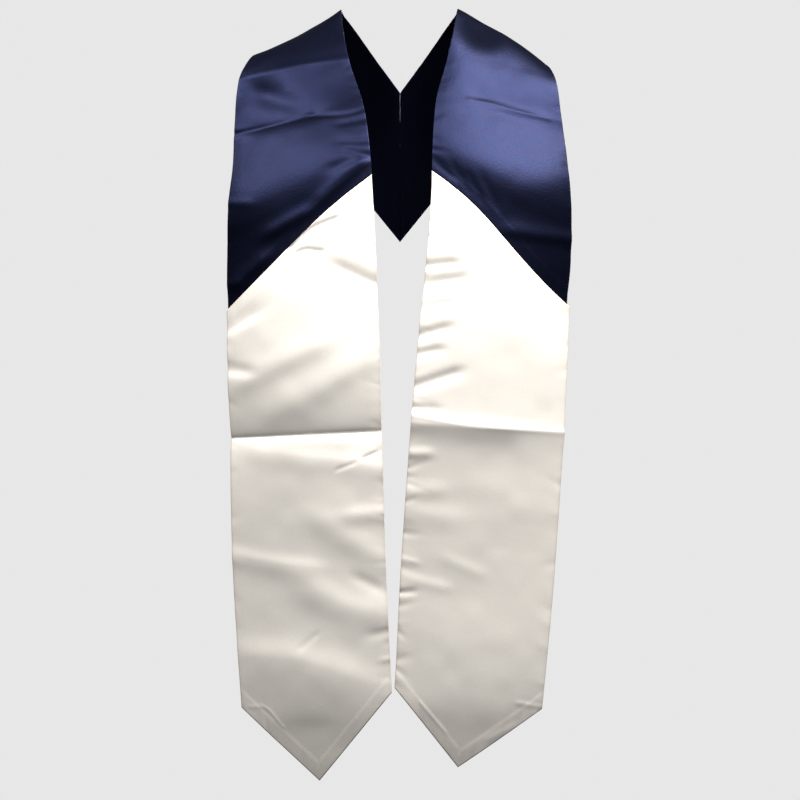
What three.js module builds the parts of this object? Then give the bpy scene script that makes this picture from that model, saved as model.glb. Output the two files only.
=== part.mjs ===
// A two-colour graduation stole, in the form it takes when it is worn: two satin bands that meet in a V
// behind the neck, pass over the shoulders and hang down the front to pointed hems.
//
// Millimetres. The origin is on the wearer's neck axis, level with the shoulders where the outer edges
// cross them. +X is the wearer's left, -Y the wearer's front and +Z is up.

import * as THREE from "three";
import { LoftGeometry } from "three/addons/geometries/LoftGeometry.js";

// Driving dimensions of the cloth
const WALL = 2; // face, stiffening and reverse together
const NECK_BAND = 103; // width of the band around the neck
const PANEL_WIDTH = 149; // width of the hanging front
const POINT_LENGTH = 78; // from the hem's corners down to its tip
const SEAM_RISE = 133; // how much higher the slanting seam is at the neck edge
const SEAM_BOW = 5; // how far that seam bows up from a straight line
const SEAM_NIP = 3; // how far the yoke's outer edge draws in at that seam
const SEAM_NIP_REACH = 28; // over which it draws in
const SEAM_GAP = 0.3; // clearance between pieces that are sewn together

// Driving dimensions of the drape
const NECK_SPAN = 118; // between the two neck edges at the sides of the neck
const NECK_STAND = 54; // neck edge above the shoulders at the sides of the neck
const NAPE_DEPTH = 78; // neck edge behind the origin
const CHEST_DEPTH = 135; // neck edges in front of the origin at the fullest part of the chest
const FRONT_DROP = 715; // shoulder level down to the lower tip

// Resolution of the walls
const COLUMNS = 12; // an even number
const YOKE_ROWS = 44;
const PANEL_ROWS = 46;

// Each section places a point of the neck edge and a rib from it to the outer edge. turn is the rib's
// angle behind the sideways direction and lean its angle below the level, both in degrees. belly is
// how far the rib arches outwards, as a share of the same size as its width.
//
// Around the neck, side is a share of half NECK_SPAN, back of NAPE_DEPTH, up of NECK_STAND and width
// of NECK_BAND.
const NECK_SECTIONS = [
  { side: 0, back: 1, up: -0.52, width: 1.55, turn: 90, lean: 72.5, belly: 0.03 },
  { side: 0.44, back: 0.9, up: 0.12, width: 1.05, turn: 29.7, lean: 54.9, belly: 0.05 },
  { side: 0.78, back: 0.66, up: 0.61, width: 0.985, turn: 19.3, lean: 40.5, belly: 0.05 },
  { side: 0.97, back: 0.44, up: 0.86, width: 0.955, turn: 7.6, lean: 35, belly: 0.03 },
];
const RIGHT_SHOULDER = {
  side: 1.015, back: 0.205, up: 0.93, width: 0.99, turn: -10.4, lean: 29.2, belly: -0.035,
};
const LEFT_SHOULDER = {
  side: 0.981, back: 0.205, up: 0.89, width: 1.06, turn: -10, lean: 32.6, belly: 0.04,
};

// Down the front, side is a share of half NECK_SPAN, ahead of CHEST_DEPTH, down of FRONT_DROP and
// width of PANEL_WIDTH.
const RIGHT_FRONT = [
  { side: 0.885, ahead: 0.148, down: 0.003, width: 0.742, turn: -2.1, lean: 11.8, belly: 0.02 },
  { side: 0.6, ahead: 0.444, down: 0.082, width: 0.878, turn: 4.4, lean: 9.1, belly: 0.035 },
  { side: 0.495, ahead: 0.637, down: 0.143, width: 0.924, turn: 8, lean: 6.7, belly: 0.045 },
  { side: 0.452, ahead: 0.763, down: 0.2, width: 0.963, turn: 8.9, lean: 5.6, belly: 0.055 },
  { side: 0.393, ahead: 0.881, down: 0.283, width: 0.989, turn: 9, lean: 4.1, belly: 0.065 },
  { side: 0.342, ahead: 0.963, down: 0.391, width: 1.005, turn: 8.8, lean: 2.7, belly: 0.065 },
  { side: 0.292, ahead: 1, down: 0.528, width: 1.006, turn: 8.4, lean: 2.3, belly: 0.055 },
  { side: 0.227, ahead: 0.993, down: 0.714, width: 1.002, turn: 7.3, lean: 3.4, belly: 0.04 },
  { side: 0.131, ahead: 0.97, down: 0.878, width: 0.988, turn: 6.7, lean: 6.4, belly: 0.035 },
  { side: 0.04, ahead: 0.96, down: 1.04, width: 0.99, turn: 6.2, lean: 6, belly: 0.03 },
];
const LEFT_FRONT = [
  { side: 0.8, ahead: 0.148, down: 0.009, width: 0.74, turn: -2.1, lean: 10.7, belly: 0.03 },
  { side: 0.605, ahead: 0.407, down: 0.07, width: 0.844, turn: 3.2, lean: 7.8, belly: 0.035 },
  { side: 0.532, ahead: 0.637, down: 0.143, width: 0.908, turn: 8.1, lean: 5.5, belly: 0.045 },
  { side: 0.517, ahead: 0.763, down: 0.2, width: 0.933, turn: 9.2, lean: 4.6, belly: 0.055 },
  { side: 0.442, ahead: 0.881, down: 0.283, width: 0.957, turn: 9.4, lean: 2.2, belly: 0.065 },
  { side: 0.31, ahead: 0.963, down: 0.391, width: 0.988, turn: 9, lean: 2.8, belly: 0.065 },
  { side: 0.178, ahead: 1, down: 0.517, width: 1.005, turn: 8.5, lean: 4.2, belly: 0.055 },
  { side: 0.009, ahead: 0.993, down: 0.714, width: 1.008, turn: 7.3, lean: 7.9, belly: 0.04 },
  { side: -0.09, ahead: 0.97, down: 0.871, width: 0.976, turn: 6.8, lean: 8.8, belly: 0.035 },
  { side: -0.27, ahead: 0.96, down: 1.04, width: 0.976, turn: 6.6, lean: 9.1, belly: 0.03 },
];

// Creases left by folding for the packet, right across the band. down is a share of FRONT_DROP,
// height, above or below the cloth, and reach, over which it fades, are shares of PANEL_WIDTH.
const RIGHT_CREASES = [
  { down: 0.019, height: 0.018, reach: 0.09 },
  { down: 0.096, height: 0.02, reach: 0.1 },
  { down: 0.532, height: -0.035, reach: 0.17 },
];
const LEFT_CREASES = [
  { down: 0.085, height: 0.016, reach: 0.1 },
  { down: 0.53, height: 0.026, reach: 0.17 },
];

// Round hollows in the yokes. down is a share of FRONT_DROP, across runs from 0 at the neck edge to 1
// at the outer edge, and depth and radius are shares of PANEL_WIDTH.
const RIGHT_HOLLOWS = [
  { down: -0.026, across: 0.38, depth: 0.03, radius: 0.2 },
  { down: 0.058, across: 0.75, depth: 0.025, radius: 0.17 },
];
const LEFT_HOLLOWS = [{ down: -0.01, across: 0.35, depth: 0.05, radius: 0.2 }];

// seam gives the slanting seam: down is its upper end's drop as a share of FRONT_DROP, bow and sway
// are its even and its S-shaped curve as shares of SEAM_BOW, and nip is a share of SEAM_NIP. hem gives
// the point: down and across place its tip, and point is its length as a share of POINT_LENGTH.
const HALVES = [
  {
    name: "right",
    sideways: -1,
    sections: { shoulder: RIGHT_SHOULDER, front: RIGHT_FRONT },
    creases: RIGHT_CREASES,
    hollows: RIGHT_HOLLOWS,
    seam: { down: 0.178, bow: 0.95, sway: 0.25, nip: 0.5 },
    hem: { down: 0.998, across: 0.5, point: 1 },
  },
  {
    name: "left",
    sideways: 1,
    sections: { shoulder: LEFT_SHOULDER, front: LEFT_FRONT },
    creases: LEFT_CREASES,
    hollows: LEFT_HOLLOWS,
    seam: { down: 0.173, bow: 0.5, sway: 0.7, nip: 1 },
    hem: { down: 0.98, across: 0.465, point: 0.865 },
  },
];

const NAVY_SATIN = new THREE.MeshStandardMaterial({ color: 0x2a3566, roughness: 0.38, metalness: 0 });
const WHITE_SATIN = new THREE.MeshStandardMaterial({ color: 0xe9e5dc, roughness: 0.34, metalness: 0 });

// A section's neck edge, outer edge and rib
function section(neckEdge, sideways, { turn, lean }, width, belly) {
  const aside = THREE.MathUtils.degToRad(turn);
  const below = THREE.MathUtils.degToRad(lean);
  const rib = new THREE.Vector3(
    sideways * Math.cos(below) * Math.cos(aside),
    Math.cos(below) * Math.sin(aside),
    -Math.sin(below),
  );
  return { neckEdge, rib, outerEdge: neckEdge.clone().addScaledVector(rib, width), belly };
}

function neckSection(row, sideways) {
  const neckEdge = new THREE.Vector3(
    (sideways * row.side * NECK_SPAN) / 2,
    row.back * NAPE_DEPTH,
    row.up * NECK_STAND,
  );
  return section(neckEdge, sideways, row, row.width * NECK_BAND, row.belly * NECK_BAND);
}

function frontSection(row, sideways) {
  const neckEdge = new THREE.Vector3(
    (sideways * row.side * NECK_SPAN) / 2,
    -row.ahead * CHEST_DEPTH,
    -row.down * FRONT_DROP,
  );
  return section(neckEdge, sideways, row, row.width * PANEL_WIDTH, row.belly * PANEL_WIDTH);
}

// A section beyond the centre back, from the centre's and the next one. It is the next one's mirror
// image moved along the centre's rib, so that the halves meet in a V without a crease.
function sectionBeyond(centre, next) {
  const mirror = (v) => v.clone().setX(-v.x);
  const beyond = (edge) => {
    const rise = centre[edge].clone().sub(next[edge]).dot(centre.rib);
    return mirror(next[edge]).addScaledVector(centre.rib, 2 * rise);
  };
  return {
    neckEdge: beyond("neckEdge"),
    outerEdge: beyond("outerEdge"),
    rib: mirror(next.rib),
    belly: next.belly,
  };
}

const chordMiddle = ({ neckEdge, outerEdge }) => neckEdge.clone().lerp(outerEdge, 0.5);

// The middle of each section's rib, arched outwards by its belly
function archedMiddles(sections, sideways) {
  return sections.map((here, i) => {
    const before = chordMiddle(sections[i - 1] ?? here);
    const after = chordMiddle(sections[i + 1] ?? here);
    const outwards = after.sub(before).cross(here.rib).normalize();
    return chordMiddle(here).addScaledVector(outwards, sideways * here.belly);
  });
}

// One half of the stole as a smooth surface with creases and hollows. station is the distance along
// the middle of the band from the centre back, and across runs from 0 at the neck edge to 1 at the
// outer edge.
class Band {
  constructor({ sideways, sections, creases, hollows }) {
    const rows = [
      ...NECK_SECTIONS.map((row) => neckSection(row, sideways)),
      neckSection(sections.shoulder, sideways),
      ...sections.front.map((row) => frontSection(row, sideways)),
    ];
    rows.unshift(sectionBeyond(rows[0], rows[1]));

    this.sideways = sideways;
    this.neckCurve = new THREE.CatmullRomCurve3(rows.map((row) => row.neckEdge));
    this.outerCurve = new THREE.CatmullRomCurve3(rows.map((row) => row.outerEdge));
    this.middleCurve = new THREE.CatmullRomCurve3(archedMiddles(rows, sideways));

    this.middleCurve.arcLengthDivisions = 200 * (rows.length - 1);
    const lengths = this.middleCurve.getLengths();
    this.lead = lengths[200];
    this.shoulderStation = lengths[200 * (NECK_SECTIONS.length + 1)] - this.lead;
    this.length = this.middleCurve.getLength() - this.lead;

    this.creases = creases.map(({ down, height, reach }) => ({
      station: this.stationAtDrop(down * FRONT_DROP, 0.5),
      height: height * PANEL_WIDTH,
      reach: reach * PANEL_WIDTH,
    }));
    this.hollows = hollows.map(({ down, across, depth, radius }) => ({
      station: this.stationAtDrop(down * FRONT_DROP, across),
      across,
      depth: depth * PANEL_WIDTH,
      radius: radius * PANEL_WIDTH,
    }));
  }

  smoothPoint(station, across) {
    const t = this.middleCurve.getUtoTmapping(0, station + this.lead);
    const neck = this.neckCurve.getPoint(t);
    const outer = this.outerCurve.getPoint(t);
    const arch = this.middleCurve.getPoint(t).sub(neck.clone().lerp(outer, 0.5));
    return neck.lerp(outer, across).addScaledVector(arch, 4 * across * (1 - across));
  }

  // The unit direction out of the cloth, away from the wearer
  outwards(station, across) {
    const along = this.smoothPoint(station + 0.5, across).sub(this.smoothPoint(station - 0.5, across));
    const rib = this.smoothPoint(station, across + 0.01).sub(this.smoothPoint(station, across - 0.01));
    return along.cross(rib).normalize().multiplyScalar(this.sideways);
  }

  relief(station, across) {
    let height = 0;
    for (const crease of this.creases)
      height += crease.height * Math.exp(-Math.abs(station - crease.station) / crease.reach);
    for (const hollow of this.hollows) {
      const away = Math.hypot(station - hollow.station, (across - hollow.across) * PANEL_WIDTH);
      height -= hollow.depth * Math.exp(-((away / hollow.radius) ** 2));
    }
    return height;
  }

  // A point at a height above the middle of the cloth
  point(station, across, height) {
    const lift = this.relief(station, across) + height;
    return this.smoothPoint(station, across).addScaledVector(this.outwards(station, across), lift);
  }

  // The station in front of the shoulder at which the surface is a given drop below the shoulders
  stationAtDrop(drop, across) {
    let low = this.shoulderStation;
    let high = this.length;
    while (high - low > 0.001) {
      const middle = (low + high) / 2;
      if (-this.smoothPoint(middle, across).z < drop) low = middle;
      else high = middle;
    }
    return low;
  }
}

// A closed wall of cloth between two lines across the band, each a function from across to station.
// One of its lengthwise lines runs at middleAcross, and drawIn is the share of the width by which the
// outer edge is drawn in at a station. The wall thins to a single line along its edges and its ends,
// as turned cloth does.
function clothWall(band, startLine, endLine, { middleAcross, rows, drawIn = () => 0 }) {
  const narrowed = (across, station) => across * (1 - drawIn(station));
  // Where the lengthwise line at a share of the narrowed width meets a line across the band
  const meeting = (line, across) => {
    let station = line(across);
    for (let i = 0; i < 4; i++) station = line(narrowed(across, station));
    return station;
  };
  const column = (across) => ({
    across,
    start: meeting(startLine, across),
    end: meeting(endLine, across),
  });

  const margin = WALL / 2 / PANEL_WIDTH;
  const { lerp } = THREE.MathUtils;
  const half = COLUMNS / 2;
  const face = [];
  for (let i = 0; i <= half; i++) face.push(column(lerp(margin, middleAcross, i / half)));
  for (let i = 1; i <= half; i++) face.push(column(lerp(middleAcross, 1 - margin, i / half)));
  const neckEdge = column(0);
  const outerEdge = column(1);

  // The share of the way from start to end, kept a given distance inside both of them
  const ring = (share, inset, height) => {
    const at = ({ across, start, end }, h) => {
      const station = start + inset + (end - start - 2 * inset) * share;
      return band.point(station, narrowed(across, station), h);
    };
    const points = [
      at(neckEdge, 0),
      ...face.map((line) => at(line, height)),
      at(outerEdge, 0),
      ...face.toReversed().map((line) => at(line, -height)),
    ];
    return band.sideways > 0 ? points.reverse() : points;
  };

  const rings = [ring(0, 0, 0)];
  for (let i = 0; i <= rows; i++) rings.push(ring(i / rows, WALL / 2, WALL / 2));
  rings.push(ring(1, 0, 0));
  return new LoftGeometry(rings);
}

function namedMesh(name, geometry, material) {
  const mesh = new THREE.Mesh(geometry, material);
  mesh.name = name;
  return mesh;
}

function makeHalf(half) {
  const band = new Band(half);

  const { seam, hem } = half;

  const seamLine = (across) => {
    const curve = seam.bow * Math.sin(Math.PI * across) + seam.sway * Math.sin(2 * Math.PI * across);
    const drop = seam.down * FRONT_DROP + SEAM_RISE * across - SEAM_BOW * curve;
    return band.stationAtDrop(drop, across);
  };

  const tipStation = band.stationAtDrop(hem.down * FRONT_DROP, hem.across);
  const hemLine = (across) => {
    const toEdge = across < hem.across ? 1 - across / hem.across : (across - hem.across) / (1 - hem.across);
    return tipStation - hem.point * POINT_LENGTH * toEdge;
  };

  const seamFoot = seamLine(1);
  const drawIn = (station) => {
    const fade = Math.exp(-(((seamFoot - station) / SEAM_NIP_REACH) ** 2));
    return ((seam.nip * SEAM_NIP) / PANEL_WIDTH) * fade;
  };

  const halfGap = SEAM_GAP / 2;
  const middleAcross = hem.across;
  const yoke = clothWall(band, () => halfGap, (across) => seamLine(across) - halfGap, {
    middleAcross,
    rows: YOKE_ROWS,
    drawIn,
  });
  const panel = clothWall(band, (across) => seamLine(across) + halfGap, hemLine, {
    middleAcross,
    rows: PANEL_ROWS,
  });

  const group = new THREE.Group();
  group.add(namedMesh(`${half.name}_yoke`, yoke, NAVY_SATIN));
  group.add(namedMesh(`${half.name}_panel`, panel, WHITE_SATIN));
  return group;
}

const stole = new THREE.Group();
HALVES.forEach((half) => stole.add(makeHalf(half)));

export default stole;
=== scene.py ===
"""A two-colour graduation stole in the form it takes when it is worn.

Two satin bands meet in a V behind the neck, pass over the shoulders and hang down the front to pointed
hems. Each half is a navy yoke sewn to a white panel along a slanting seam. Metres, +Z up, the wearer's
front towards -Y and the wearer's left towards +X.
"""

import math
from typing import NamedTuple

import bpy
import numpy as np
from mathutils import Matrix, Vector


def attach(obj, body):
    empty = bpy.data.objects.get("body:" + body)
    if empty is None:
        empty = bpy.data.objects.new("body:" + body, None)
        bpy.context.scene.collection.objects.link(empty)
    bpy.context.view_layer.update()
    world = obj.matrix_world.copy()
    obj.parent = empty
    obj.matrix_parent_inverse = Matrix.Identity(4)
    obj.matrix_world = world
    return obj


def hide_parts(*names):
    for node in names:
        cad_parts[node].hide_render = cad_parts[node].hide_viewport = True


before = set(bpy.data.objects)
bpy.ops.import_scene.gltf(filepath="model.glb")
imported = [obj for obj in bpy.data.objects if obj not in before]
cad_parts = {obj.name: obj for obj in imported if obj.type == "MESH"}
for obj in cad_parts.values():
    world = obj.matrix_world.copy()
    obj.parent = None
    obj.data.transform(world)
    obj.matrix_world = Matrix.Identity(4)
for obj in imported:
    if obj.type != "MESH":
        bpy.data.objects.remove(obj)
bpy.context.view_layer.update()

# Cloth
CLOTH = 0.0015  # face, stiffening and reverse together
NECK_BAND = 0.103  # width of the band around the neck
PANEL_WIDTH = 0.149  # width of the hanging front
POINT_LENGTH = 0.078  # from the hem's corners down to its tip
SEAM_RISE = 0.133  # how much higher the slanting seam is at the neck edge
SEAM_BOW = 0.005
SEAM_NIP = 0.003  # how far the yoke's outer edge draws in at that seam
SEAM_NIP_REACH = 0.028
SEAM_LAP = 0.00005  # how far the pieces run into each other at their seams

# Drape
NECK_SPAN = 0.118  # between the two neck edges at the sides of the neck
NECK_STAND = 0.054  # neck edge above the shoulders at the sides of the neck
NAPE_DEPTH = 0.078  # neck edge behind the origin
CHEST_DEPTH = 0.135  # neck edges in front of the origin at the fullest part of the chest
FRONT_DROP = 0.715  # shoulder level down to the lower tip

# Mesh
CELL = 0.00145  # side of a face
EDGE_STEPS = (0, 0.00012, 0.0004, 0.0008, 0.0013, 0.002)  # rows and columns near an edge
EDGE_ROUND = 0.0009  # over which the wall closes at its edges
MEETING_ROUNDS = 4  # to find where a narrowed column meets a line across the band

# Seam allowances, which lie inside the cloth and show faintly through it
ALLOWANCE = 0.0125
ALLOWANCE_STEP = 0.002
HEM_ALLOWANCE_RISE = 0.00018
SIDE_ALLOWANCE_RISE = 0.00005

# Small unevenness, placed by seeded random numbers
WAVE_HEIGHT = 0.0005
WAVE_CELL = 0.045  # width of one bump
RIPPLE_HEIGHT = 0.00015
RIPPLE_CELL = 0.018
NOISE_CELLS = 96  # after which the bumps repeat
NOISE_SHIFT = 40  # from the lattice's corner to the place where both lengths are 0, in cells
GATHER_HEIGHT = 0.0003
NECK_GATHERS = (0.011, 0.012)  # spacing along the edge and reach inwards
OUTER_GATHERS = (0.016, 0.01)
SEAM_GATHERS = (0.012, 0.012)
SEAM_STRETCH = 1.4  # length along a slanting edge for each length across the band
SEAM_RUN = 0.3  # length that is filled with gathers

# Where the forms of the front fade out
PROFILE_FADE = (0.01, 0.06)  # distances behind the origin
FOLD_FADE = (-0.005, 0.02)  # the same
SLANT_FADE = (0.2, 0.4)  # distances below the shoulders

# Look
EDGE_WEAR_AND_SHADE = 0.0012  # how far in from an edge the cloth is rubbed on the navy, and darkened with painted shade on the white
FLOAT_LENGTH = 0.0014  # of the weave's long threads
FLOAT_WIDTH = 0.00028
FLOAT_GAP = 0.00004
SLUBS_PER_METRE = (140, 1400, 1)
MOTTLES_PER_METRE = 380
PATCHES_PER_METRE = 110
CLOUDS_PER_METRE = 28
THREAD_RELIEF = 0.00006


class Section(NamedTuple):
    """A point of the neck edge and the rib from it to the outer edge.

    turn is the rib's angle behind the sideways direction and lean its angle below the level, in degrees.
    belly is how far the rib arches outwards, as a share of the same size as its width. Around the neck,
    side is a share of half NECK_SPAN, depth of NAPE_DEPTH backwards, height of NECK_STAND and width of
    NECK_BAND. Down the front, depth is a share of CHEST_DEPTH forwards, height of FRONT_DROP downwards
    and width of PANEL_WIDTH.
    """

    side: float
    depth: float
    height: float
    width: float
    turn: float
    lean: float
    belly: float


NECK_SECTIONS = [
    Section(0, 1, -0.52, 1.55, 90, 72.5, 0.03),
    Section(0.44, 0.9, 0.12, 1.05, 29.7, 54.9, 0.05),
    Section(0.78, 0.66, 0.61, 0.985, 19.3, 40.5, 0.05),
    Section(0.97, 0.44, 0.86, 0.955, 7.6, 35, 0.03),
]
RIGHT_SHOULDER = Section(1.015, 0.205, 0.93, 0.99, -10.4, 29.2, -0.035)
LEFT_SHOULDER = Section(0.981, 0.205, 0.89, 1.06, -10, 32.6, 0.04)
RIGHT_FRONT = [
    Section(0.885, 0.148, 0.003, 0.742, -2.1, 11.8, 0.02),
    Section(0.6, 0.444, 0.082, 0.878, 4.4, 9.1, 0.035),
    Section(0.495, 0.637, 0.143, 0.924, 8, 6.7, 0.045),
    Section(0.452, 0.763, 0.2, 0.963, 8.9, 5.6, 0.055),
    Section(0.393, 0.881, 0.283, 0.989, 9, 4.1, 0.065),
    Section(0.342, 0.963, 0.391, 1.005, 8.8, 2.7, 0.065),
    Section(0.292, 1, 0.528, 1.006, 8.4, 2.3, 0.055),
    Section(0.227, 0.993, 0.714, 1.002, 7.3, 3.4, 0.04),
    Section(0.131, 0.97, 0.878, 0.988, 6.7, 6.4, 0.035),
    Section(0.04, 0.96, 1.04, 0.99, 6.2, 6, 0.03),
]
LEFT_FRONT = [
    Section(0.8, 0.148, 0.009, 0.74, -2.1, 10.7, 0.03),
    Section(0.605, 0.407, 0.07, 0.844, 3.2, 7.8, 0.035),
    Section(0.532, 0.637, 0.143, 0.908, 8.1, 5.5, 0.045),
    Section(0.517, 0.763, 0.2, 0.933, 9.2, 4.6, 0.055),
    Section(0.442, 0.881, 0.283, 0.957, 9.4, 2.2, 0.065),
    Section(0.31, 0.963, 0.391, 0.988, 9, 2.8, 0.065),
    Section(0.178, 1, 0.517, 1.005, 8.5, 4.2, 0.055),
    Section(0.009, 0.993, 0.714, 1.008, 7.3, 7.9, 0.04),
    Section(-0.09, 0.97, 0.871, 0.976, 6.8, 8.8, 0.035),
    Section(-0.27, 0.96, 1.04, 0.976, 6.6, 9.1, 0.03),
]


class Fold(NamedTuple):
    """A ridge, or with a negative height a hollow, along a line of the cloth's front.

    The line's points are (aside, drop), the distances from the middle and below the shoulders as they
    are seen from the front. above and below are the reaches on its two sides. A sharp one has a crest
    like a pressed crease.
    """

    height: float
    above: float
    below: float
    line: list
    sharp: bool = False


RIGHT_YOKE_FOLDS = [
    # the packet's two creases
    Fold(0.0006, 0.004, 0.004, [(0.158, 0.028), (0.124, 0.02), (0.089, 0.012), (0.051, 0.007)], True),
    Fold(-0.0007, 0.003, 0.003, [(0.163, 0.084), (0.112, 0.072), (0.088, 0.066)]),
    Fold(-0.0007, 0.003, 0.003, [(0.088, 0.066), (0.054, 0.066), (0.035, 0.061)]),
    Fold(-0.0015, 0.008, 0.008, [(0.138, 0.078), (0.112, 0.072), (0.085, 0.065)]),
    # the dent between them
    Fold(-0.0016, 0.011, 0.011, [(0.15, 0.034), (0.112, 0.052)]),
    # puckers of the neck edge
    Fold(-0.0008, 0.004, 0.004, [(0.035, 0.071), (0.055, 0.075)]),
    Fold(-0.0008, 0.004, 0.004, [(0.033, 0.094), (0.054, 0.094)]),
    Fold(-0.0008, 0.004, 0.004, [(0.031, 0.109), (0.049, 0.104)]),
    Fold(-0.0008, 0.005, 0.005, [(0.037, 0.11), (0.064, 0.12)]),
    # along the slanting seam
    Fold(0.0019, 0.008, 0.007, [(0.041, 0.117), (0.073, 0.149)]),
    Fold(0.0018, 0.008, 0.006, [(0.094, 0.167), (0.122, 0.183)]),
    Fold(0.0015, 0.008, 0.006, [(0.134, 0.213), (0.155, 0.231)]),
    # puckers of the outer edge
    Fold(0.0007, 0.005, 0.005, [(0.166, 0.156), (0.152, 0.156)]),
    Fold(0.0005, 0.005, 0.005, [(0.165, 0.235), (0.157, 0.235)]),
]
LEFT_YOKE_FOLDS = [
    # the packet's crease, with a hollow on each side
    Fold(0.0005, 0.002, 0.002, [(0.069, 0.051), (0.088, 0.054), (0.108, 0.06), (0.145, 0.069)], True),
    Fold(-0.0004, 0.007, 0.004, [(0.08, 0.048), (0.102, 0.052), (0.12, 0.058)]),
    Fold(-0.0004, 0.004, 0.008, [(0.09, 0.063), (0.122, 0.07)]),
    # along the slanting seam
    Fold(-0.0007, 0.004, 0.004, [(0.033, 0.113), (0.05, 0.128)]),
    Fold(-0.0007, 0.0045, 0.0045, [(0.055, 0.123), (0.066, 0.142)]),
    Fold(-0.0006, 0.0045, 0.0045, [(0.068, 0.131), (0.078, 0.15)]),
    Fold(-0.0005, 0.005, 0.005, [(0.083, 0.136), (0.093, 0.156)]),
    # the fold of the outer edge
    Fold(0.0012, 0.009, 0.006, [(0.168, 0.19), (0.141, 0.188), (0.112, 0.184)]),
]
RIGHT_PANEL_FOLDS = [
    # puckers of the slanting seam
    Fold(-0.002, 0.003, 0.003, [(0.064, 0.172), (0.086, 0.182), (0.104, 0.199)]),
    Fold(-0.0012, 0.0025, 0.0025, [(0.078, 0.203), (0.092, 0.202), (0.106, 0.207)]),
    # a soft hollow beside the neck edge, and the outer corner
    Fold(-0.0024, 0.015, 0.015, [(0.062, 0.222), (0.026, 0.234)]),
    Fold(-0.0012, 0.01, 0.006, [(0.168, 0.279), (0.146, 0.266)]),
    Fold(-0.001, 0.006, 0.006, [(0.168, 0.317), (0.152, 0.319)]),
    # puckers of the neck edge
    Fold(-0.0012, 0.007, 0.006, [(0.05, 0.194), (0.028, 0.203)]),
    Fold(-0.0014, 0.007, 0.007, [(0.053, 0.222), (0.025, 0.236)]),
    Fold(-0.0013, 0.008, 0.008, [(0.053, 0.247), (0.023, 0.256)]),
    Fold(-0.0003, 0.0035, 0.0035, [(0.014, 0.372), (0.022, 0.37)]),
    # broad diagonals above the packet's crease
    Fold(0.0014, 0.014, 0.012, [(0.15, 0.328), (0.085, 0.297)]),
    Fold(0.0015, 0.016, 0.014, [(0.098, 0.346), (0.06, 0.325), (0.024, 0.304)]),
    # the line of the packet's crease, and the ridge below it
    Fold(-0.0008, 0.002, 0.002, [(0.165, 0.384), (0.1, 0.381), (0.015, 0.376)], True),
    Fold(0.0008, 0.004, 0.01, [(0.112, 0.387), (0.058, 0.386)]),
    Fold(0.0011, 0.009, 0.013, [(0.125, 0.399), (0.111, 0.401), (0.058, 0.406), (0.014, 0.414)]),
    Fold(-0.0007, 0.002, 0.002, [(0.024, 0.398), (0.033, 0.402)]),
    Fold(-0.0004, 0.002, 0.002, [(0.045, 0.408), (0.058, 0.413)]),
    # bumps of the lower half
    Fold(0.0012, 0.008, 0.01, [(0.01, 0.455), (0.042, 0.458)]),
    Fold(0.001, 0.013, 0.014, [(0.072, 0.466), (0.05, 0.48), (0.029, 0.494)]),
    Fold(0.0009, 0.008, 0.012, [(0.16, 0.497), (0.13, 0.503), (0.09, 0.508)]),
    Fold(0.0018, 0.014, 0.018, [(0.008, 0.552), (0.05, 0.547), (0.08, 0.53)]),
    Fold(-0.0007, 0.006, 0.006, [(0.024, 0.526), (0.036, 0.52)]),
    Fold(0.0022, 0.016, 0.03, [(0.12, 0.596), (0.095, 0.598), (0.065, 0.608)]),
    Fold(-0.0003, 0.003, 0.003, [(0.093, 0.584), (0.082, 0.574)]),
    Fold(-0.0005, 0.005, 0.005, [(0.008, 0.568), (0.022, 0.571)]),
    Fold(0.0004, 0.003, 0.003, [(0.006, 0.595), (0.014, 0.596)]),
    Fold(-0.0003, 0.009, 0.012, [(0.086, 0.662), (0.072, 0.662)]),
    # the folded hem showing through at the corner
    Fold(0.0002, 0.0015, 0.0015, [(0.143, 0.643), (0.13, 0.643), (0.113, 0.661)]),
]
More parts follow.
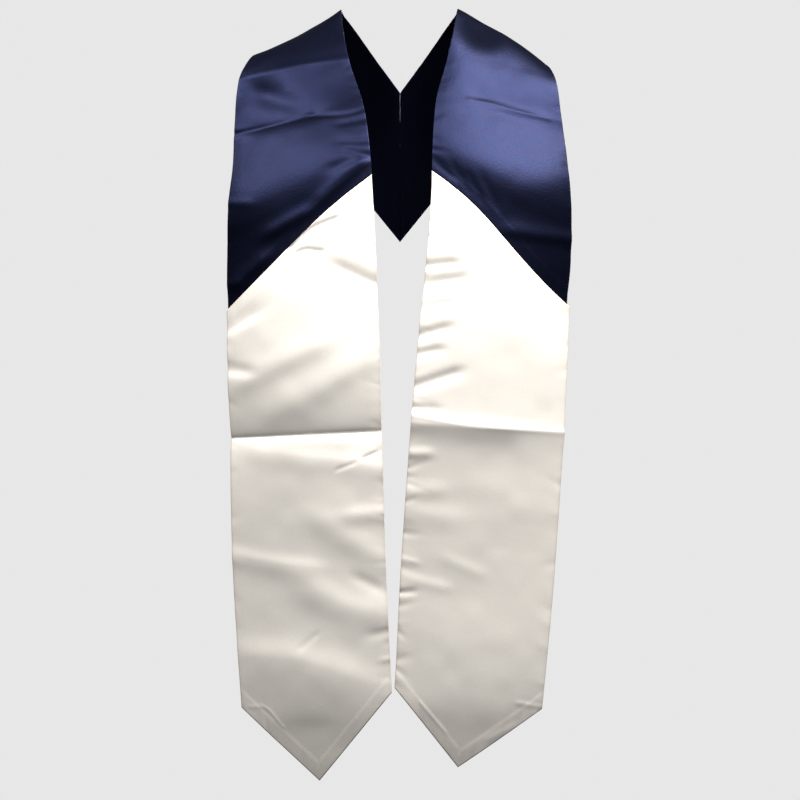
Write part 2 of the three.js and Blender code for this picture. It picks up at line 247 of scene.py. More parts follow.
LEFT_PANEL_FOLDS = [
    # a soft hollow beside the neck edge
    Fold(-0.0024, 0.016, 0.013, [(0.024, 0.24), (0.055, 0.232)]),
    # puckers of the neck edge
    Fold(-0.0014, 0.0035, 0.0035, [(0.031, 0.174), (0.05, 0.169)]),
    Fold(-0.0009, 0.004, 0.004, [(0.028, 0.19), (0.042, 0.187)]),
    Fold(-0.0016, 0.005, 0.005, [(0.026, 0.217), (0.048, 0.215)]),
    Fold(-0.0012, 0.006, 0.006, [(0.027, 0.234), (0.055, 0.231)]),
    Fold(-0.0016, 0.005, 0.006, [(0.023, 0.258), (0.045, 0.254)]),
    Fold(-0.0016, 0.005, 0.006, [(0.018, 0.285), (0.04, 0.279)]),
    Fold(-0.001, 0.004, 0.005, [(0.016, 0.301), (0.034, 0.299)]),
    Fold(-0.0015, 0.005, 0.006, [(0.014, 0.334), (0.05, 0.322)]),
    Fold(-0.0008, 0.004, 0.005, [(0.012, 0.354), (0.03, 0.355)]),
    # the line of the packet's crease
    Fold(0.0006, 0.002, 0.002, [(0.011, 0.361), (0.061, 0.371), (0.157, 0.378)], True),
    Fold(0.0014, 0.006, 0.014, [(0.01, 0.363), (0.061, 0.371), (0.1, 0.374)]),
    # bumps of the lower half
    Fold(0.001, 0.005, 0.005, [(0.012, 0.398), (0.022, 0.398)]),
    Fold(0.0007, 0.008, 0.008, [(0.008, 0.436), (0.03, 0.434)]),
    Fold(0.0007, 0.01, 0.012, [(0.008, 0.455), (0.04, 0.459)]),
    Fold(0.0004, 0.006, 0.007, [(0.052, 0.503), (0.07, 0.511)]),
    Fold(0.0004, 0.005, 0.006, [(0.018, 0.521), (0.04, 0.526)]),
    Fold(0.0004, 0.003, 0.003, [(0.005, 0.5), (0.013, 0.502)]),
    Fold(-0.0006, 0.003, 0.003, [(-0.002, 0.532), (0.01, 0.531)]),
    # the folded hem showing through
    Fold(0.0002, 0.0015, 0.0015, [(0.02, 0.638), (0.043, 0.665)]),
    Fold(0.0003, 0.002, 0.003, [(0.116, 0.639), (0.135, 0.643)]),
    Fold(0.0003, 0.004, 0.005, [(0.088, 0.672), (0.108, 0.663)]),
]


class Crease(NamedTuple):
    """A fold right across the band. down is a share of FRONT_DROP, height and reach of PANEL_WIDTH."""

    down: float
    height: float
    reach: float


class Hollow(NamedTuple):
    """A round hollow. down is a share of FRONT_DROP, depth and radius of PANEL_WIDTH."""

    down: float
    across: float
    depth: float
    radius: float


class Dip(NamedTuple):
    """A soft hollow, or with a negative depth a bulge, which moves the cloth straight back.

    Its middle is an aside from the middle of the stole and a drop below the shoulders. All are metres.
    """

    aside: float
    drop: float
    depth: float
    width: float
    height: float


class Bend(NamedTuple):
    """A point of the cloth's profile: how far forward it stands, as a share of CHEST_DEPTH.

    down is a share of FRONT_DROP, at the distance NECK_SPAN from the middle.
    """

    down: float
    forward: float


BENDS = [
    Bend(-0.09, 0),
    Bend(-0.035, 0.02),
    Bend(0.01, 0.034),
    Bend(0.045, 0.018),
    Bend(0.085, 0.002),
    Bend(0.12, 0.015),
    Bend(0.155, 0.034),
    Bend(0.175, 0.0415),
    Bend(0.19, 0.042),
    Bend(0.205, 0.0355),
    Bend(0.23, 0.018),
    Bend(0.26, 0.005),
    Bend(0.3, 0),
    Bend(0.6, 0),
    Bend(0.72, 0.01),
    Bend(0.82, 0.033),
    Bend(0.87, 0.042),
    Bend(0.9, 0.04),
    Bend(0.95, 0.018),
    Bend(1.03, -0.03),
]
BEND_SLANT = 0.5  # how much lower the profile lies for each length further out


class Half(NamedTuple):
    """One half of the stole.

    The slanting seam's upper end is seam_down below the shoulders, as a share of FRONT_DROP. bow and
    sway are its even and its S-shaped curve, as shares of SEAM_BOW, and nip is a share of SEAM_NIP.
    bend_down is how much lower its profile lies, as a share of FRONT_DROP, and gathers is how strong
    the gathers of its neck edge are.
    The hem's tip is tip_down below the shoulders at the share tip_across of the width, and point is
    its length as a share of POINT_LENGTH.
    """

    name: str
    sideways: int
    shoulder: Section
    front: list
    creases: list
    hollows: list
    dips: list
    bend_down: float
    gathers: float
    yoke_folds: list
    panel_folds: list
    seam_down: float
    bow: float
    sway: float
    nip: float
    tip_down: float
    tip_across: float
    point: float
    seed: int


HALVES = [
    Half(
        name="right",
        sideways=-1,
        shoulder=RIGHT_SHOULDER,
        front=RIGHT_FRONT,
        creases=[Crease(0.019, 0.006, 0.09), Crease(0.096, 0.006, 0.1), Crease(0.532, -0.032, 0.17)],
        hollows=[Hollow(0.058, 0.75, 0.025, 0.17)],
        dips=[Dip(0.072, -0.042, 0.014, 0.045, 0.034), Dip(0.165, 0.15, -0.003, 0.035, 0.035)],
        bend_down=0.012,
        gathers=0.8,
        yoke_folds=RIGHT_YOKE_FOLDS,
        panel_folds=RIGHT_PANEL_FOLDS,
        seam_down=0.178,
        bow=0.95,
        sway=0.25,
        nip=0.5,
        tip_down=0.998,
        tip_across=0.5,
        point=1,
        seed=11,
    ),
    Half(
        name="left",
        sideways=1,
        shoulder=LEFT_SHOULDER,
        front=LEFT_FRONT,
        creases=[Crease(0.085, 0.004, 0.1), Crease(0.524, 0.018, 0.17)],
        hollows=[],
        dips=[
            Dip(0.083, -0.03, 0.017, 0.021, 0.022),
            Dip(0.045, -0.004, -0.018, 0.045, 0.052),
            Dip(0.165, 0.125, -0.004, 0.035, 0.032),
        ],
        bend_down=0,
        gathers=1.7,
        yoke_folds=LEFT_YOKE_FOLDS,
        panel_folds=LEFT_PANEL_FOLDS,
        seam_down=0.173,
        bow=0.5,
        sway=0.7,
        nip=1,
        tip_down=0.98,
        tip_across=0.465,
        point=0.865,
        seed=23,
    ),
]


def unit(vectors):
    return vectors / np.linalg.norm(vectors, axis=-1, keepdims=True)


def smoothstep(value, start, end):
    share = np.clip((value - start) / (end - start), 0, 1)
    return share * share * (3 - 2 * share)


class Curve:
    """A centripetal Catmull-Rom curve through points of any dimension."""

    def __init__(self, points):
        inner = np.array(points, dtype=float)
        first = 2 * inner[0] - inner[1]
        last = 2 * inner[-1] - inner[-2]
        self.points = np.vstack([first, inner, last])
        self.steps = np.sqrt(np.linalg.norm(np.diff(self.points, axis=0), axis=1))
        self.spans = len(inner) - 1

    def at(self, share):
        place = np.clip(share, 0, 1) * self.spans
        i = np.minimum(place.astype(int), self.spans - 1)
        w = (place - i)[..., None]
        p0, p1, p2, p3 = (self.points[i + k] for k in range(4))
        d0, d1, d2 = (self.steps[i + k][..., None] for k in range(3))
        leaving = d1 * ((p1 - p0) / d0 - (p2 - p0) / (d0 + d1)) + p2 - p1
        arriving = d1 * ((p3 - p2) / d2 - (p3 - p1) / (d1 + d2)) + p2 - p1
        square = 3 * (p2 - p1) - 2 * leaving - arriving
        cube = 2 * (p1 - p2) + leaving + arriving
        return p1 + w * (leaving + w * (square + w * cube))


def make_rib(section, sideways):
    turn, lean = math.radians(section.turn), math.radians(section.lean)
    return np.array(
        [
            sideways * math.cos(lean) * math.cos(turn),
            math.cos(lean) * math.sin(turn),
            -math.sin(lean),
        ]
    )


def neck_edge(section, sideways, depth, height):
    return np.array([sideways * section.side * NECK_SPAN / 2, depth, height])


class Band:
    """One half of the stole as a smooth surface with creases and hollows.

    station is the distance along the middle of the band from the centre back, and across runs from 0
    at the neck edge to 1 at the outer edge. Both may be arrays.
    """

    SAMPLES = 200  # for each span of the curves
    BEND_SAMPLES = 400
    STEP_ALONG = 0.0005  # for the surface's directions
    STEP_ACROSS = 0.01
    HALVINGS = 22  # when a station is looked for

    def __init__(self, half):
        sideways = half.sideways
        edges, ribs, widths, bellies = [], [], [], []
        for section in [*NECK_SECTIONS, half.shoulder]:
            depth, height = section.depth * NAPE_DEPTH, section.height * NECK_STAND
            edges.append(neck_edge(section, sideways, depth, height))
            ribs.append(make_rib(section, sideways))
            widths.append(section.width * NECK_BAND)
            bellies.append(section.belly * NECK_BAND)
        for section in half.front:
            depth, height = -section.depth * CHEST_DEPTH, -section.height * FRONT_DROP
            edges.append(neck_edge(section, sideways, depth, height))
            ribs.append(make_rib(section, sideways))
            widths.append(section.width * PANEL_WIDTH)
            bellies.append(section.belly * PANEL_WIDTH)
        neck, ribs = np.array(edges), np.array(ribs)
        outer = neck + ribs * np.array(widths)[:, None]

        # A section beyond the centre back, so that the halves meet in a V without a crease
        flip = np.array([-1, 1, 1])
        neck = np.vstack([self.beyond(neck, ribs[0], flip), neck])
        outer = np.vstack([self.beyond(outer, ribs[0], flip), outer])
        ribs = np.vstack([ribs[1] * flip, ribs])
        bellies = np.array([bellies[1], *bellies])

        middle = (neck + outer) / 2
        before = np.vstack([middle[:1], middle[:-1]])
        after = np.vstack([middle[1:], middle[-1:]])
        arch = sideways * unit(np.cross(after - before, ribs)) * bellies[:, None]

        self.sideways = sideways
        self.dips = half.dips
        self.bend_down = half.bend_down
        self.bends = Curve([(bend.down, bend.forward) for bend in BENDS]).at(
            np.linspace(0, 1, self.BEND_SAMPLES)
        )
        self.neck_curve = Curve(neck)
        self.outer_curve = Curve(outer)
        self.middle_curve = Curve(middle + arch)
        self.shares = np.linspace(0, 1, self.SAMPLES * self.middle_curve.spans + 1)
        steps = np.linalg.norm(np.diff(self.middle_curve.at(self.shares), axis=0), axis=1)
        self.lengths = np.concatenate([[0], np.cumsum(steps)])
        self.lead = self.lengths[self.SAMPLES]
        self.length = self.lengths[-1] - self.lead
        self.shoulder_station = self.lengths[self.SAMPLES * (len(NECK_SECTIONS) + 1)] - self.lead

        self.creases = []
        for crease in half.creases:
            place = self.station_at_drop(crease.down * FRONT_DROP, 0.5)
            self.creases.append((place, crease.height * PANEL_WIDTH, crease.reach * PANEL_WIDTH))
        self.hollows = []
        for hollow in half.hollows:
            place = self.station_at_drop(hollow.down * FRONT_DROP, hollow.across)
            depth, radius = hollow.depth * PANEL_WIDTH, hollow.radius * PANEL_WIDTH
            self.hollows.append((place, hollow.across, depth, radius))

    @staticmethod
    def beyond(edge, rib, flip):
        rise = np.dot(edge[0] - edge[1], rib)
        return edge[1] * flip + 2 * rise * rib

    def smooth_point(self, station, across):
        station, across = np.broadcast_arrays(station, across)
        share = np.interp(station + self.lead, self.lengths, self.shares)
        neck = self.neck_curve.at(share)
        outer = self.outer_curve.at(share)
        arch = self.middle_curve.at(share) - (neck + outer) / 2
        across = across[..., None]
        point = neck + (outer - neck) * across + arch * 4 * across * (1 - across)
        point[..., 1] -= self.forward(point)
        return point

    def forward(self, point):
        """How far the cloth stands forward of its smooth sections."""
        aside, drop = np.abs(point[..., 0]), -point[..., 2]
        slant = BEND_SLANT * (1 - smoothstep(drop, *SLANT_FADE))
        level = (drop - slant * (aside - NECK_SPAN)) / FRONT_DROP - self.bend_down
        forward = CHEST_DEPTH * np.interp(level, self.bends[:, 0], self.bends[:, 1])
        for dip in self.dips:
            away = np.hypot((aside - dip.aside) / dip.width, (drop - dip.drop) / dip.height)
            forward -= dip.depth * np.exp(-(away**2))
        return forward * (1 - smoothstep(point[..., 1], *PROFILE_FADE))

    def outwards(self, station, across):
        """The unit direction out of the cloth, away from the wearer."""
        on, back = station + self.STEP_ALONG, station - self.STEP_ALONG
        out, into = across + self.STEP_ACROSS, across - self.STEP_ACROSS
        along = self.smooth_point(on, across) - self.smooth_point(back, across)
        rib = self.smooth_point(station, out) - self.smooth_point(station, into)
        return self.sideways * unit(np.cross(along, rib))

    def relief(self, station, across):
        height = np.zeros_like(station)
        for place, rise, reach in self.creases:
            height += rise * np.exp(-np.abs(station - place) / reach)
        for place, middle, depth, radius in self.hollows:
            away = np.hypot(station - place, (across - middle) * PANEL_WIDTH)
            height -= depth * np.exp(-((away / radius) ** 2))
        return height

    def station_at_drop(self, drop, across):
        """The station in front of the shoulder at which the surface is a drop below the shoulders."""
        drop, across = np.broadcast_arrays(np.asarray(drop, float), np.asarray(across, float))
        low = np.full(drop.shape, self.shoulder_station)
        high = np.full(drop.shape, self.length)
        for _ in range(self.HALVINGS):
            middle = (low + high) / 2
            higher = -self.smooth_point(middle, across)[..., 2] < drop
            low = np.where(higher, middle, low)
            high = np.where(higher, high, middle)
        return low


def stretch_steps(length, fixed=()):
    """Distances along a length, close together at both ends, passing through the fixed ones."""
    ends = np.array(EDGE_STEPS)
    stops = [ends[-1], *fixed, length - ends[-1]]
    runs = []
    for start, end in zip(stops[:-1], stops[1:]):
        count = max(1, round((end - start) / CELL))
        runs.append(np.linspace(start, end, count, endpoint=False))
    return np.concatenate([ends[:-1], *runs, length - ends[::-1]])


def line_offset(line, aside, drop):
    """How far places are from a line: the signed distance beside it, positive above, and beyond its ends."""
    path = Curve(line).at(np.linspace(0, 1, 6 * (len(line) - 1) + 1))
    nearest = np.full(aside.shape, np.inf)
    beside = np.zeros(aside.shape)
    beyond = np.zeros(aside.shape)
    place = np.stack([aside, drop], axis=-1)
    for i, (start, end) in enumerate(zip(path[:-1], path[1:])):
        step = end - start
        length = np.linalg.norm(step)
        along = (place - start) @ step / length
        held = np.clip(along, 0, length)
        foot = start + held[..., None] * step / length
        away = np.linalg.norm(place - foot, axis=-1)
        over = np.zeros(aside.shape)
        if i == 0:
            over = np.where(along < 0, -along, over)
        if i == len(path) - 2:
            over = np.where(along > length, along - length, over)
        closer = away < nearest
        side = np.sqrt(np.maximum(away**2 - over**2, 0))
        turn = step[0] * (drop - foot[..., 1]) - step[1] * (aside - foot[..., 0])
        above = turn * step[0] < 0
        nearest = np.where(closer, away, nearest)
        beside = np.where(closer, np.where(above, side, -side), beside)
        beyond = np.where(closer, over, beyond)
    return beside, beyond


def fold_relief(folds, points):
    """The height of the listed folds at points of the cloth's front."""
    aside, drop = np.abs(points[..., 0]), -points[..., 2]
    height = np.zeros(aside.shape)
    for fold in folds:
        beside, beyond = line_offset(fold.line, aside, drop)
        reach = np.where(beside > 0, fold.above, fold.below)
        away = np.abs(beside) / reach
        crest = np.exp(-away) if fold.sharp else np.exp(-(away**2))
        height += fold.height * crest * np.exp(-((beyond / (fold.above + fold.below)) ** 2))
    return height * (1 - smoothstep(points[..., 1], *FOLD_FADE))


def soft_noise(seed, x, y, cell):
    """Smooth noise between -1 and 1 with bumps about one cell across."""
    lattice = np.random.default_rng(seed).uniform(-1, 1, (NOISE_CELLS + 1, NOISE_CELLS + 1))
    gx, gy = x / cell + NOISE_SHIFT, y / cell + NOISE_SHIFT
    i, j = np.floor(gx).astype(int), np.floor(gy).astype(int)
    fx, fy = smoothstep(gx - i, 0, 1), smoothstep(gy - j, 0, 1)
    i, j = i % NOISE_CELLS, j % NOISE_CELLS
    near = lattice[i, j] * (1 - fx) + lattice[i + 1, j] * fx
    far = lattice[i, j + 1] * (1 - fx) + lattice[i + 1, j + 1] * fx
    return near * (1 - fy) + far * fy


def edge_puckers(seed, along, inward, length, height, spacing, reach):
    """Small gathers that run in from a sewn edge."""
    rng = np.random.default_rng(seed)
    relief = np.zeros(along.shape)
    place = spacing * rng.uniform(0, 1)
    while place < length:
        rise = height * rng.uniform(-1, 0.6)
        width = spacing * rng.uniform(0.22, 0.42)
        depth = reach * rng.uniform(0.5, 1.3)
        slant = rng.uniform(-0.5, 0.5)
        away = (along - place - slant * inward) / width
        relief += rise * np.exp(-(away**2)) * np.exp(-((inward / depth) ** 2))
        place += spacing * rng.uniform(0.5, 1.6)
    return relief


def small_relief(band, half, seed, station, to_neck, to_outer, to_start, to_end):
    """Waves and ripples of the cloth, and the gathers of its four edges."""
    waves = WAVE_HEIGHT * soft_noise(seed, to_neck, station, WAVE_CELL)
    ripples = RIPPLE_HEIGHT * soft_noise(seed + 1, to_neck, station, RIPPLE_CELL)
    relief = waves + ripples
    neck_height = GATHER_HEIGHT * half.gathers
    relief += edge_puckers(seed + 2, station, to_neck, band.length, neck_height, *NECK_GATHERS)
    relief += edge_puckers(seed + 3, station, to_outer, band.length, GATHER_HEIGHT, *OUTER_GATHERS)
    slanting = to_neck * SEAM_STRETCH
    relief += edge_puckers(seed + 4, slanting, to_start, SEAM_RUN, GATHER_HEIGHT, *SEAM_GATHERS)
    relief += edge_puckers(seed + 5, slanting, to_end, SEAM_RUN, GATHER_HEIGHT, *SEAM_GATHERS)
    return relief


def wall_shape(inward):
    """The share of the wall's thickness at a distance from its edge."""
    share = np.clip(inward / EDGE_ROUND, 0, 1)
    return np.sqrt(1 - (1 - share) ** 2)


def allowance_share(inward):
    """How much of a folded-in allowance lies at a distance from its edge."""
    return 1 - smoothstep(inward, ALLOWANCE - ALLOWANCE_STEP, ALLOWANCE + ALLOWANCE_STEP)


def cell_corners(grid):
    """The four corners of each cell of a grid."""
    corners = [grid[:-1, :-1], grid[:-1, 1:], grid[1:, 1:], grid[1:, :-1]]
    return np.stack(corners, axis=-1).reshape(-1, 4)


def inner_rows(grid):
    """The points of a grid without its border, one in each row."""
    return grid[1:-1, 1:-1].reshape(-1, grid.shape[-1])


def shell_faces(rows, columns):
    """Faces of two grids that share their border. The second grid has only its inner points."""
    front = np.arange(rows * columns).reshape(rows, columns)
    inner = np.arange((rows - 2) * (columns - 2)).reshape(rows - 2, columns - 2)
    back = front.copy()
    back[1:-1, 1:-1] = rows * columns + inner
    return np.vstack([cell_corners(front), cell_corners(back)[:, ::-1]])


def make_mesh(name, front, back, uv, edge, flip):
    """A closed shell from its front and back points, a grid each."""
    points = np.vstack([front.reshape(-1, 3), inner_rows(back)])
    faces = shell_faces(*front.shape[:2])
    if flip:
        faces = faces[:, ::-1]
    mesh = bpy.data.meshes.new(name)
    mesh.from_pydata(points, [], faces)
    mesh.shade_smooth()

    places = np.vstack([uv.reshape(-1, 2), inner_rows(uv)])
    corners = np.empty(len(mesh.loops), dtype=int)
    mesh.loops.foreach_get("vertex_index", corners)
    layer = mesh.uv_layers.new(name="cloth")
    layer.uv.foreach_set("vector", places[corners].ravel().astype(np.float32))

    nearness = np.concatenate([edge.ravel(), edge[1:-1, 1:-1].ravel()])
    mesh.attributes.new("edge", "FLOAT", "POINT").data.foreach_set("value", nearness.astype(np.float32))
    return mesh


def flat_area(band, station, across):
    """The area of the smooth cloth under a grid."""
    points = band.smooth_point(station, across)
    one, two = points[1:, 1:] - points[:-1, :-1], points[1:, :-1] - points[:-1, 1:]
    return float(np.linalg.norm(np.cross(one, two), axis=-1).sum() / 2)


def make_piece(band, half, part, start_line, end_line, folds, seed, draw_in=None):
    """A closed wall of cloth between two lines across the band, each a function from across to station.

    draw_in gives the share of the width that the outer edge draws in at a station. The area of the
    smooth cloth and its longest run along the band are returned with the piece.
    """
    across = stretch_steps(PANEL_WIDTH, [half.tip_across * PANEL_WIDTH]) / PANEL_WIDTH

    def narrowed(share, station):
        return share if draw_in is None else share * (1 - draw_in(station))

    def steepness(line):
        return np.sqrt(1 + np.gradient(line, across * PANEL_WIDTH) ** 2)

    def meeting(line):
        station = line(across)
        for _ in range(MEETING_ROUNDS):
            station = line(narrowed(across, station))
        return station

    start, end = meeting(start_line), meeting(end_line)
    longest = float(np.max(end - start))
    share = stretch_steps(longest) / longest
    station = start + (end - start) * share[:, None]
    spread = np.broadcast_to(across, station.shape)
    place = narrowed(spread, station)

    smooth = band.smooth_point(station, place)
    outwards = band.outwards(station, place)

    # Distances from the four edges, square to them
    to_neck = spread * PANEL_WIDTH
    to_outer = (1 - spread) * PANEL_WIDTH
    to_start = (station - start) / steepness(start)
    to_end = (end - station) / steepness(end)
    to_edge = np.minimum(np.minimum(to_neck, to_outer), np.minimum(to_start, to_end))

    relief = band.relief(station, place) + fold_relief(folds, smooth)
    relief += small_relief(band, half, seed, station, to_neck, to_outer, to_start, to_end)

    to_side = np.minimum(to_start, np.minimum(to_neck, to_outer))
    lift = HEM_ALLOWANCE_RISE * allowance_share(to_end) + SIDE_ALLOWANCE_RISE * allowance_share(to_side)
    closing = wall_shape(to_edge)
    wall = CLOTH / 2 * closing
    front = smooth + outwards * (relief + wall + lift * closing)[..., None]
    back = smooth + outwards * (relief - wall)[..., None]
    uv = np.stack([to_neck, station], axis=-1)
    # nearness to an edge, for the strip of rubbed wear on the navy and of painted shade on the white
    edge = np.exp(-to_edge / EDGE_WEAR_AND_SHADE)
    mesh = make_mesh(f"{half.name}_{part}_cloth", front, back, uv, edge, band.sideways < 0)
    piece = bpy.data.objects.new(mesh.name, mesh)
    bpy.context.scene.collection.objects.link(piece)
    return piece, flat_area(band, station, place), longest


def make_half(half):
    band = Band(half)

    def seam_line(across):
        curve = half.bow * np.sin(math.pi * across) + half.sway * np.sin(2 * math.pi * across)
        drop = half.seam_down * FRONT_DROP + SEAM_RISE * across - SEAM_BOW * curve
        return band.station_at_drop(drop, across)

    tip_station = band.station_at_drop(half.tip_down * FRONT_DROP, half.tip_across)

    def hem_line(across):
        to_edge = np.where(
            across < half.tip_across,
            1 - across / half.tip_across,
            (across - half.tip_across) / (1 - half.tip_across),
        )
        return tip_station - half.point * POINT_LENGTH * to_edge

    seam_foot = seam_line(np.array(1.0))

    def draw_in(station):
        fade = np.exp(-(((seam_foot - station) / SEAM_NIP_REACH) ** 2))
        return half.nip * SEAM_NIP / PANEL_WIDTH * fade

    def centre_back(across):
        return np.full(across.shape, -SEAM_LAP)

    def yoke_end(across):
        return seam_line(across) + SEAM_LAP

    def panel_start(across):
        return seam_line(across) - SEAM_LAP

    yoke = make_piece(band, half, "yoke", centre_back, yoke_end, half.yoke_folds, half.seed, draw_in)
    panel = make_piece(band, half, "panel", panel_start, hem_line, half.panel_folds, half.seed + 100)
    return yoke, panel


# Materials and stage

CAMERA_PLACE = (0, -2.735, -0.347)
CAMERA_LENS = 121.875  # millimetres
FLOOR_LEVEL = -1.42
FLOOR_RADIUS = 3
FLOOR_GREY = 0.42
BACKDROP_STRENGTH = 0.8
EVEN_LIGHT_STRENGTH = 0.1
CHEST = (0, -0.1, -0.15)  # where the front lights point
BACK_MIDDLE = (0, 0, -0.25)
KEY_COLOUR = (1, 0.985, 0.96)
BACK_COLOUR = (1, 0.99, 0.98)


class Nodes:
    """Adds nodes to a tree, joins them and sets their values."""

    def __init__(self, tree):
        self.tree = tree
        tree.nodes.clear()

    def add(self, kind, settings=None, **inputs):
        node = self.tree.nodes.new(kind)
        for name, value in (settings or {}).items():
            setattr(node, name, value)
        for name, value in inputs.items():
            self.feed(node, name.replace("_", " "), value)
        return node

    def feed(self, node, name, value):
        socket = node.inputs[int(name)] if name.isdigit() else node.inputs[name]
        if isinstance(value, bpy.types.NodeSocket):
            self.tree.links.new(value, socket)
        else:
            socket.default_value = value

    def math(self, operation, *values):
        node = self.tree.nodes.new("ShaderNodeMath")
        node.operation = operation
        for i, value in enumerate(values):
            self.feed(node, str(i), value)
        return node.outputs[0]

    def mix(self, share, one, two):
        node = self.tree.nodes.new("ShaderNodeMix")
        node.data_type = "RGBA"
        self.feed(node, "0", share)
        self.feed(node, "6", one)
        self.feed(node, "7", two)
        return node.outputs[2]


class Satin(NamedTuple):
    """How a satin looks.

    body and drift are the colours of its threads, deep that of their shaded side, and the edge colour that
    of a
    strip along its edges: lighter rubbed wear on the navy, darker and warmer painted shade on the white.
    level is how strong its plain gloss is, and grain the height of its mottle.
    """

    name: str
    body: tuple
    drift: tuple
    deep: tuple
    worn: tuple
    level: float
    metallic: float
    roughness: float
    sheen: float
    grain: float


NAVY = Satin(
    name="navy_satin",
    body=(0.0036, 0.0053, 0.0148),
    drift=(0.0049, 0.0051, 0.0138),
    deep=(0.0027, 0.0035, 0.0099),
    worn=(0.007, 0.008, 0.02),
    level=0.04,
    metallic=0.85,
    roughness=0.41,
    sheen=0,
    grain=0.00012,
)
WHITE = Satin(
    name="white_satin",
    body=(0.65, 0.625, 0.58),
    drift=(0.645, 0.61, 0.575),
    deep=(0.56, 0.53, 0.485),
    # painted shade: the white satin's edge strip is darker and warmer, standing in for the shade of its
    # rolled edges
    worn=(0.42, 0.33, 0.27),
    level=0.5,
    metallic=0.33,
    roughness=0.5,
    sheen=0.05,
    grain=0.00003,
)


def noise(n, place, scale, detail, roughness=0.5):
    return n.add(
        "ShaderNodeTexNoise", None, Vector=place, Scale=scale, Detail=detail, Roughness=roughness
    ).outputs[0]


def weave_floats(n, cloth):
    """The long threads of the weave, which run along the band."""
    turned = n.add("ShaderNodeMapping", Vector=cloth, Rotation=(0, 0, math.pi / 2)).outputs[0]
    return n.add(
        "ShaderNodeTexBrick",
        {"offset": 0.4, "offset_frequency": 2},
        Vector=turned,
        Color1=(1, 1, 1, 1),
        Color2=(0.8, 0.8, 0.8, 1),
        Mortar=(0, 0, 0, 1),
        Scale=1,
        Mortar_Size=FLOAT_GAP,
        Mortar_Smooth=0.8,
        Brick_Width=FLOAT_LENGTH,
        Row_Height=FLOAT_WIDTH,
    ).outputs[0]


def thread_colour(n, look, cloth, mottle, slubs):
    """Threads in patches of two tones, darker on their shaded side, rubbed at the edges of the navy and
    darkened with painted shade at the edges of the white.
    """
    patches = noise(n, cloth, PATCHES_PER_METRE, 3, 0.65)
    cloud = noise(n, cloth, CLOUDS_PER_METRE, 2)
    shade = n.math("ADD", n.math("MULTIPLY", mottle, 0.7), n.math("MULTIPLY", slubs, 0.25))
    shade = n.math("ADD", shade, n.math("MULTIPLY", cloud, 0.2))
    shade = n.math("SUBTRACT", shade, 0.15)
    edge = n.add("ShaderNodeAttribute", {"attribute_name": "edge"}).outputs["Fac"]
    tint = n.add("ShaderNodeMapRange", None, Value=patches, From_Min=0.38, From_Max=0.62).outputs[0]
    colour = n.mix(tint, (*look.body, 1), (*look.drift, 1))
    colour = n.mix(shade, colour, (*look.deep, 1))
    # the edge strip: lighter rubbed wear on the navy, darker and warmer painted shade on the white
    return n.mix(n.math("MULTIPLY", edge, 0.6), colour, (*look.worn, 1))


def thread_bump(n, look, cloth, mottle, slubs):
    floats = weave_floats(n, cloth)
    threads = n.math("ADD", n.math("MULTIPLY", floats, 0.4), n.math("MULTIPLY", slubs, 0.6))
    fine = n.add("ShaderNodeBump", None, Strength=0.3, Distance=THREAD_RELIEF, Height=threads).outputs[0]
    return n.add(
        "ShaderNodeBump", None, Strength=1, Distance=look.grain, Height=mottle, Normal=fine
    ).outputs[0]


def satin(look):
    """A satin weave: long floats along the band, slubs, a faint mottle, and an edge strip of rubbed wear on
    the navy and of painted shade on the white.
    """
    material = bpy.data.materials.new(look.name)
    material.use_nodes = True
    n = Nodes(material.node_tree)
    cloth = n.add("ShaderNodeUVMap", {"uv_map": "cloth"}).outputs[0]
    drawn = n.add("ShaderNodeMapping", Vector=cloth, Scale=SLUBS_PER_METRE).outputs[0]
    slubs = noise(n, drawn, 1, 2)
    mottle = noise(n, cloth, MOTTLES_PER_METRE, 3, 0.6)
    gloss = n.math("ADD", look.roughness - 0.04, n.math("MULTIPLY", slubs, 0.08))
    tangent = n.add("ShaderNodeTangent", {"direction_type": "UV_MAP", "uv_map": "cloth"}).outputs[0]
    shader = n.add(
        "ShaderNodeBsdfPrincipled",
        None,
        Base_Color=thread_colour(n, look, cloth, mottle, slubs),
        Metallic=look.metallic,
        Roughness=gloss,
        Specular_IOR_Level=look.level,
        Anisotropic=0.2,
        Sheen_Weight=look.sheen,
        Sheen_Roughness=0.35,
        Normal=thread_bump(n, look, cloth, mottle, slubs),
        Tangent=tangent,
    )
    n.add("ShaderNodeOutputMaterial", None, Surface=shader.outputs[0])
    return material


def make_floor(z, radius):
    """A grey round floor that fades out towards its rim and throws no light on the cloth."""
    bpy.ops.mesh.primitive_circle_add(vertices=96, radius=radius, fill_type="NGON", location=(0, 0, z))
    floor = bpy.context.object
    floor.name = "floor"
    material = bpy.data.materials.new("floor")
    material.use_nodes = True
    n = Nodes(material.node_tree)
    place = n.add("ShaderNodeTexCoord").outputs["Object"]
    away = n.add("ShaderNodeVectorMath", {"operation": "LENGTH"}, **{"0": place}).outputs["Value"]
    fade = n.add("ShaderNodeMapRange", None, Value=away, From_Min=radius * 0.45, From_Max=radius * 0.98)
    matt = n.add("ShaderNodeBsdfDiffuse", None, Color=(FLOOR_GREY, FLOOR_GREY, FLOOR_GREY, 1)).outputs[0]
    clear = n.add("ShaderNodeBsdfTransparent").outputs[0]
    mixed = n.add("ShaderNodeMixShader", None, **{"0": fade.outputs[0], "1": matt, "2": clear}).outputs[0]
    n.add("ShaderNodeOutputMaterial", None, Surface=mixed)
    floor.data.materials.append(material)
    floor.visible_diffuse = False
    floor.visible_glossy = False


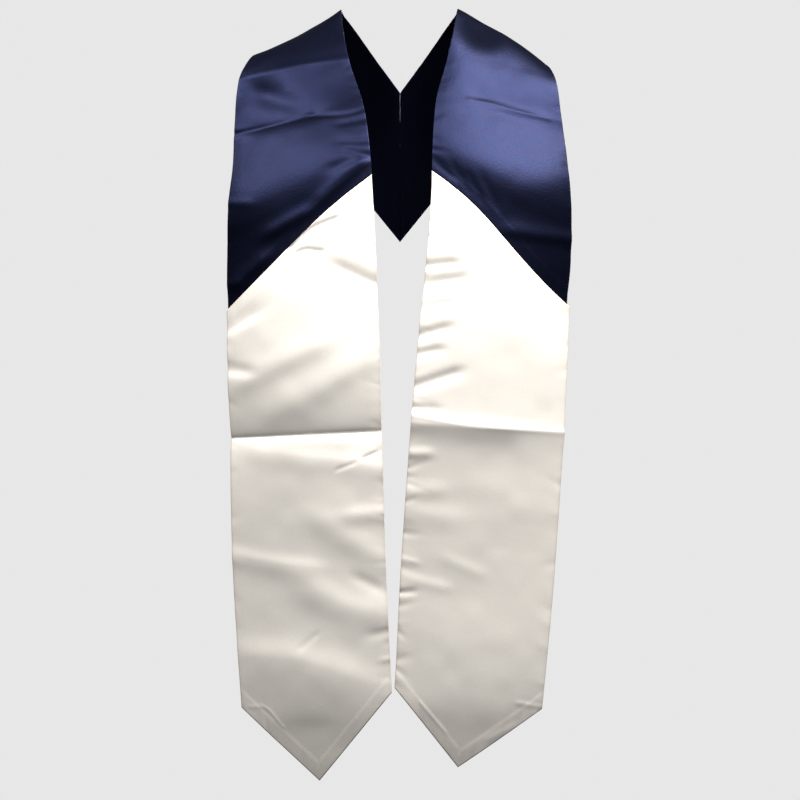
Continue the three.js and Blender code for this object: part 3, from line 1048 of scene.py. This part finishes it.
def add_area_light(name, place, target, width, height, power, colour):
    light = bpy.data.lights.new(name, "AREA")
    light.shape = "RECTANGLE"
    light.size = width
    light.size_y = height
    light.energy = power
    light.color = colour
    lamp = bpy.data.objects.new(name, light)
    lamp.location = place
    direction = Vector(target) - Vector(place)
    lamp.rotation_euler = direction.to_track_quat("-Z", "Y").to_euler()
    bpy.context.scene.collection.objects.link(lamp)


def make_world():
    """Light grey to the eye, so that the white cloth stands out, and a dim even light on the cloth."""
    world = bpy.data.worlds.new("studio")
    world.use_nodes = True
    n = Nodes(world.node_tree)
    seen = n.add("ShaderNodeBackground", None, Color=(1, 1, 1, 1), Strength=BACKDROP_STRENGTH).outputs[0]
    cast = n.add(
        "ShaderNodeBackground", None, Color=(0.95, 0.97, 1, 1), Strength=EVEN_LIGHT_STRENGTH
    ).outputs[0]
    direct = n.add("ShaderNodeLightPath").outputs["Is Camera Ray"]
    mixed = n.add("ShaderNodeMixShader", None, **{"0": direct, "1": cast, "2": seen}).outputs[0]
    n.add("ShaderNodeOutputWorld", None, Surface=mixed)
    bpy.context.scene.world = world


def make_camera():
    camera = bpy.data.objects.new("camera", bpy.data.cameras.new("camera"))
    camera.data.lens = CAMERA_LENS
    camera.location = CAMERA_PLACE
    camera.rotation_euler = (math.pi / 2, 0, 0)
    bpy.context.scene.collection.objects.link(camera)
    bpy.context.scene.camera = camera


make_camera()
make_world()
bpy.context.scene.view_settings.view_transform = "Standard"
make_floor(FLOOR_LEVEL, FLOOR_RADIUS)
add_area_light("right_key", (0.7, -0.67, 1.4), CHEST, 1.2, 0.38, 164, KEY_COLOUR)
add_area_light("left_key", (-0.75, -0.75, 1.3), CHEST, 1, 0.38, 66, KEY_COLOUR)
add_area_light("back", (0.3, 2.2, -0.1), BACK_MIDDLE, 1.8, 1.2, 60, BACK_COLOUR)

navy = satin(NAVY)
white = satin(WHITE)

for half in HALVES:
    (yoke, yoke_area, yoke_length), (panel, panel_area, panel_length) = make_half(half)
    yoke.data.materials.append(navy)
    panel.data.materials.append(white)
    for piece, node, slot in (
        (yoke, f"{half.name}_yoke", "navy_satin"),
        (panel, f"{half.name}_panel", "white_satin"),
    ):
        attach(piece, "root")
        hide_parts(node)
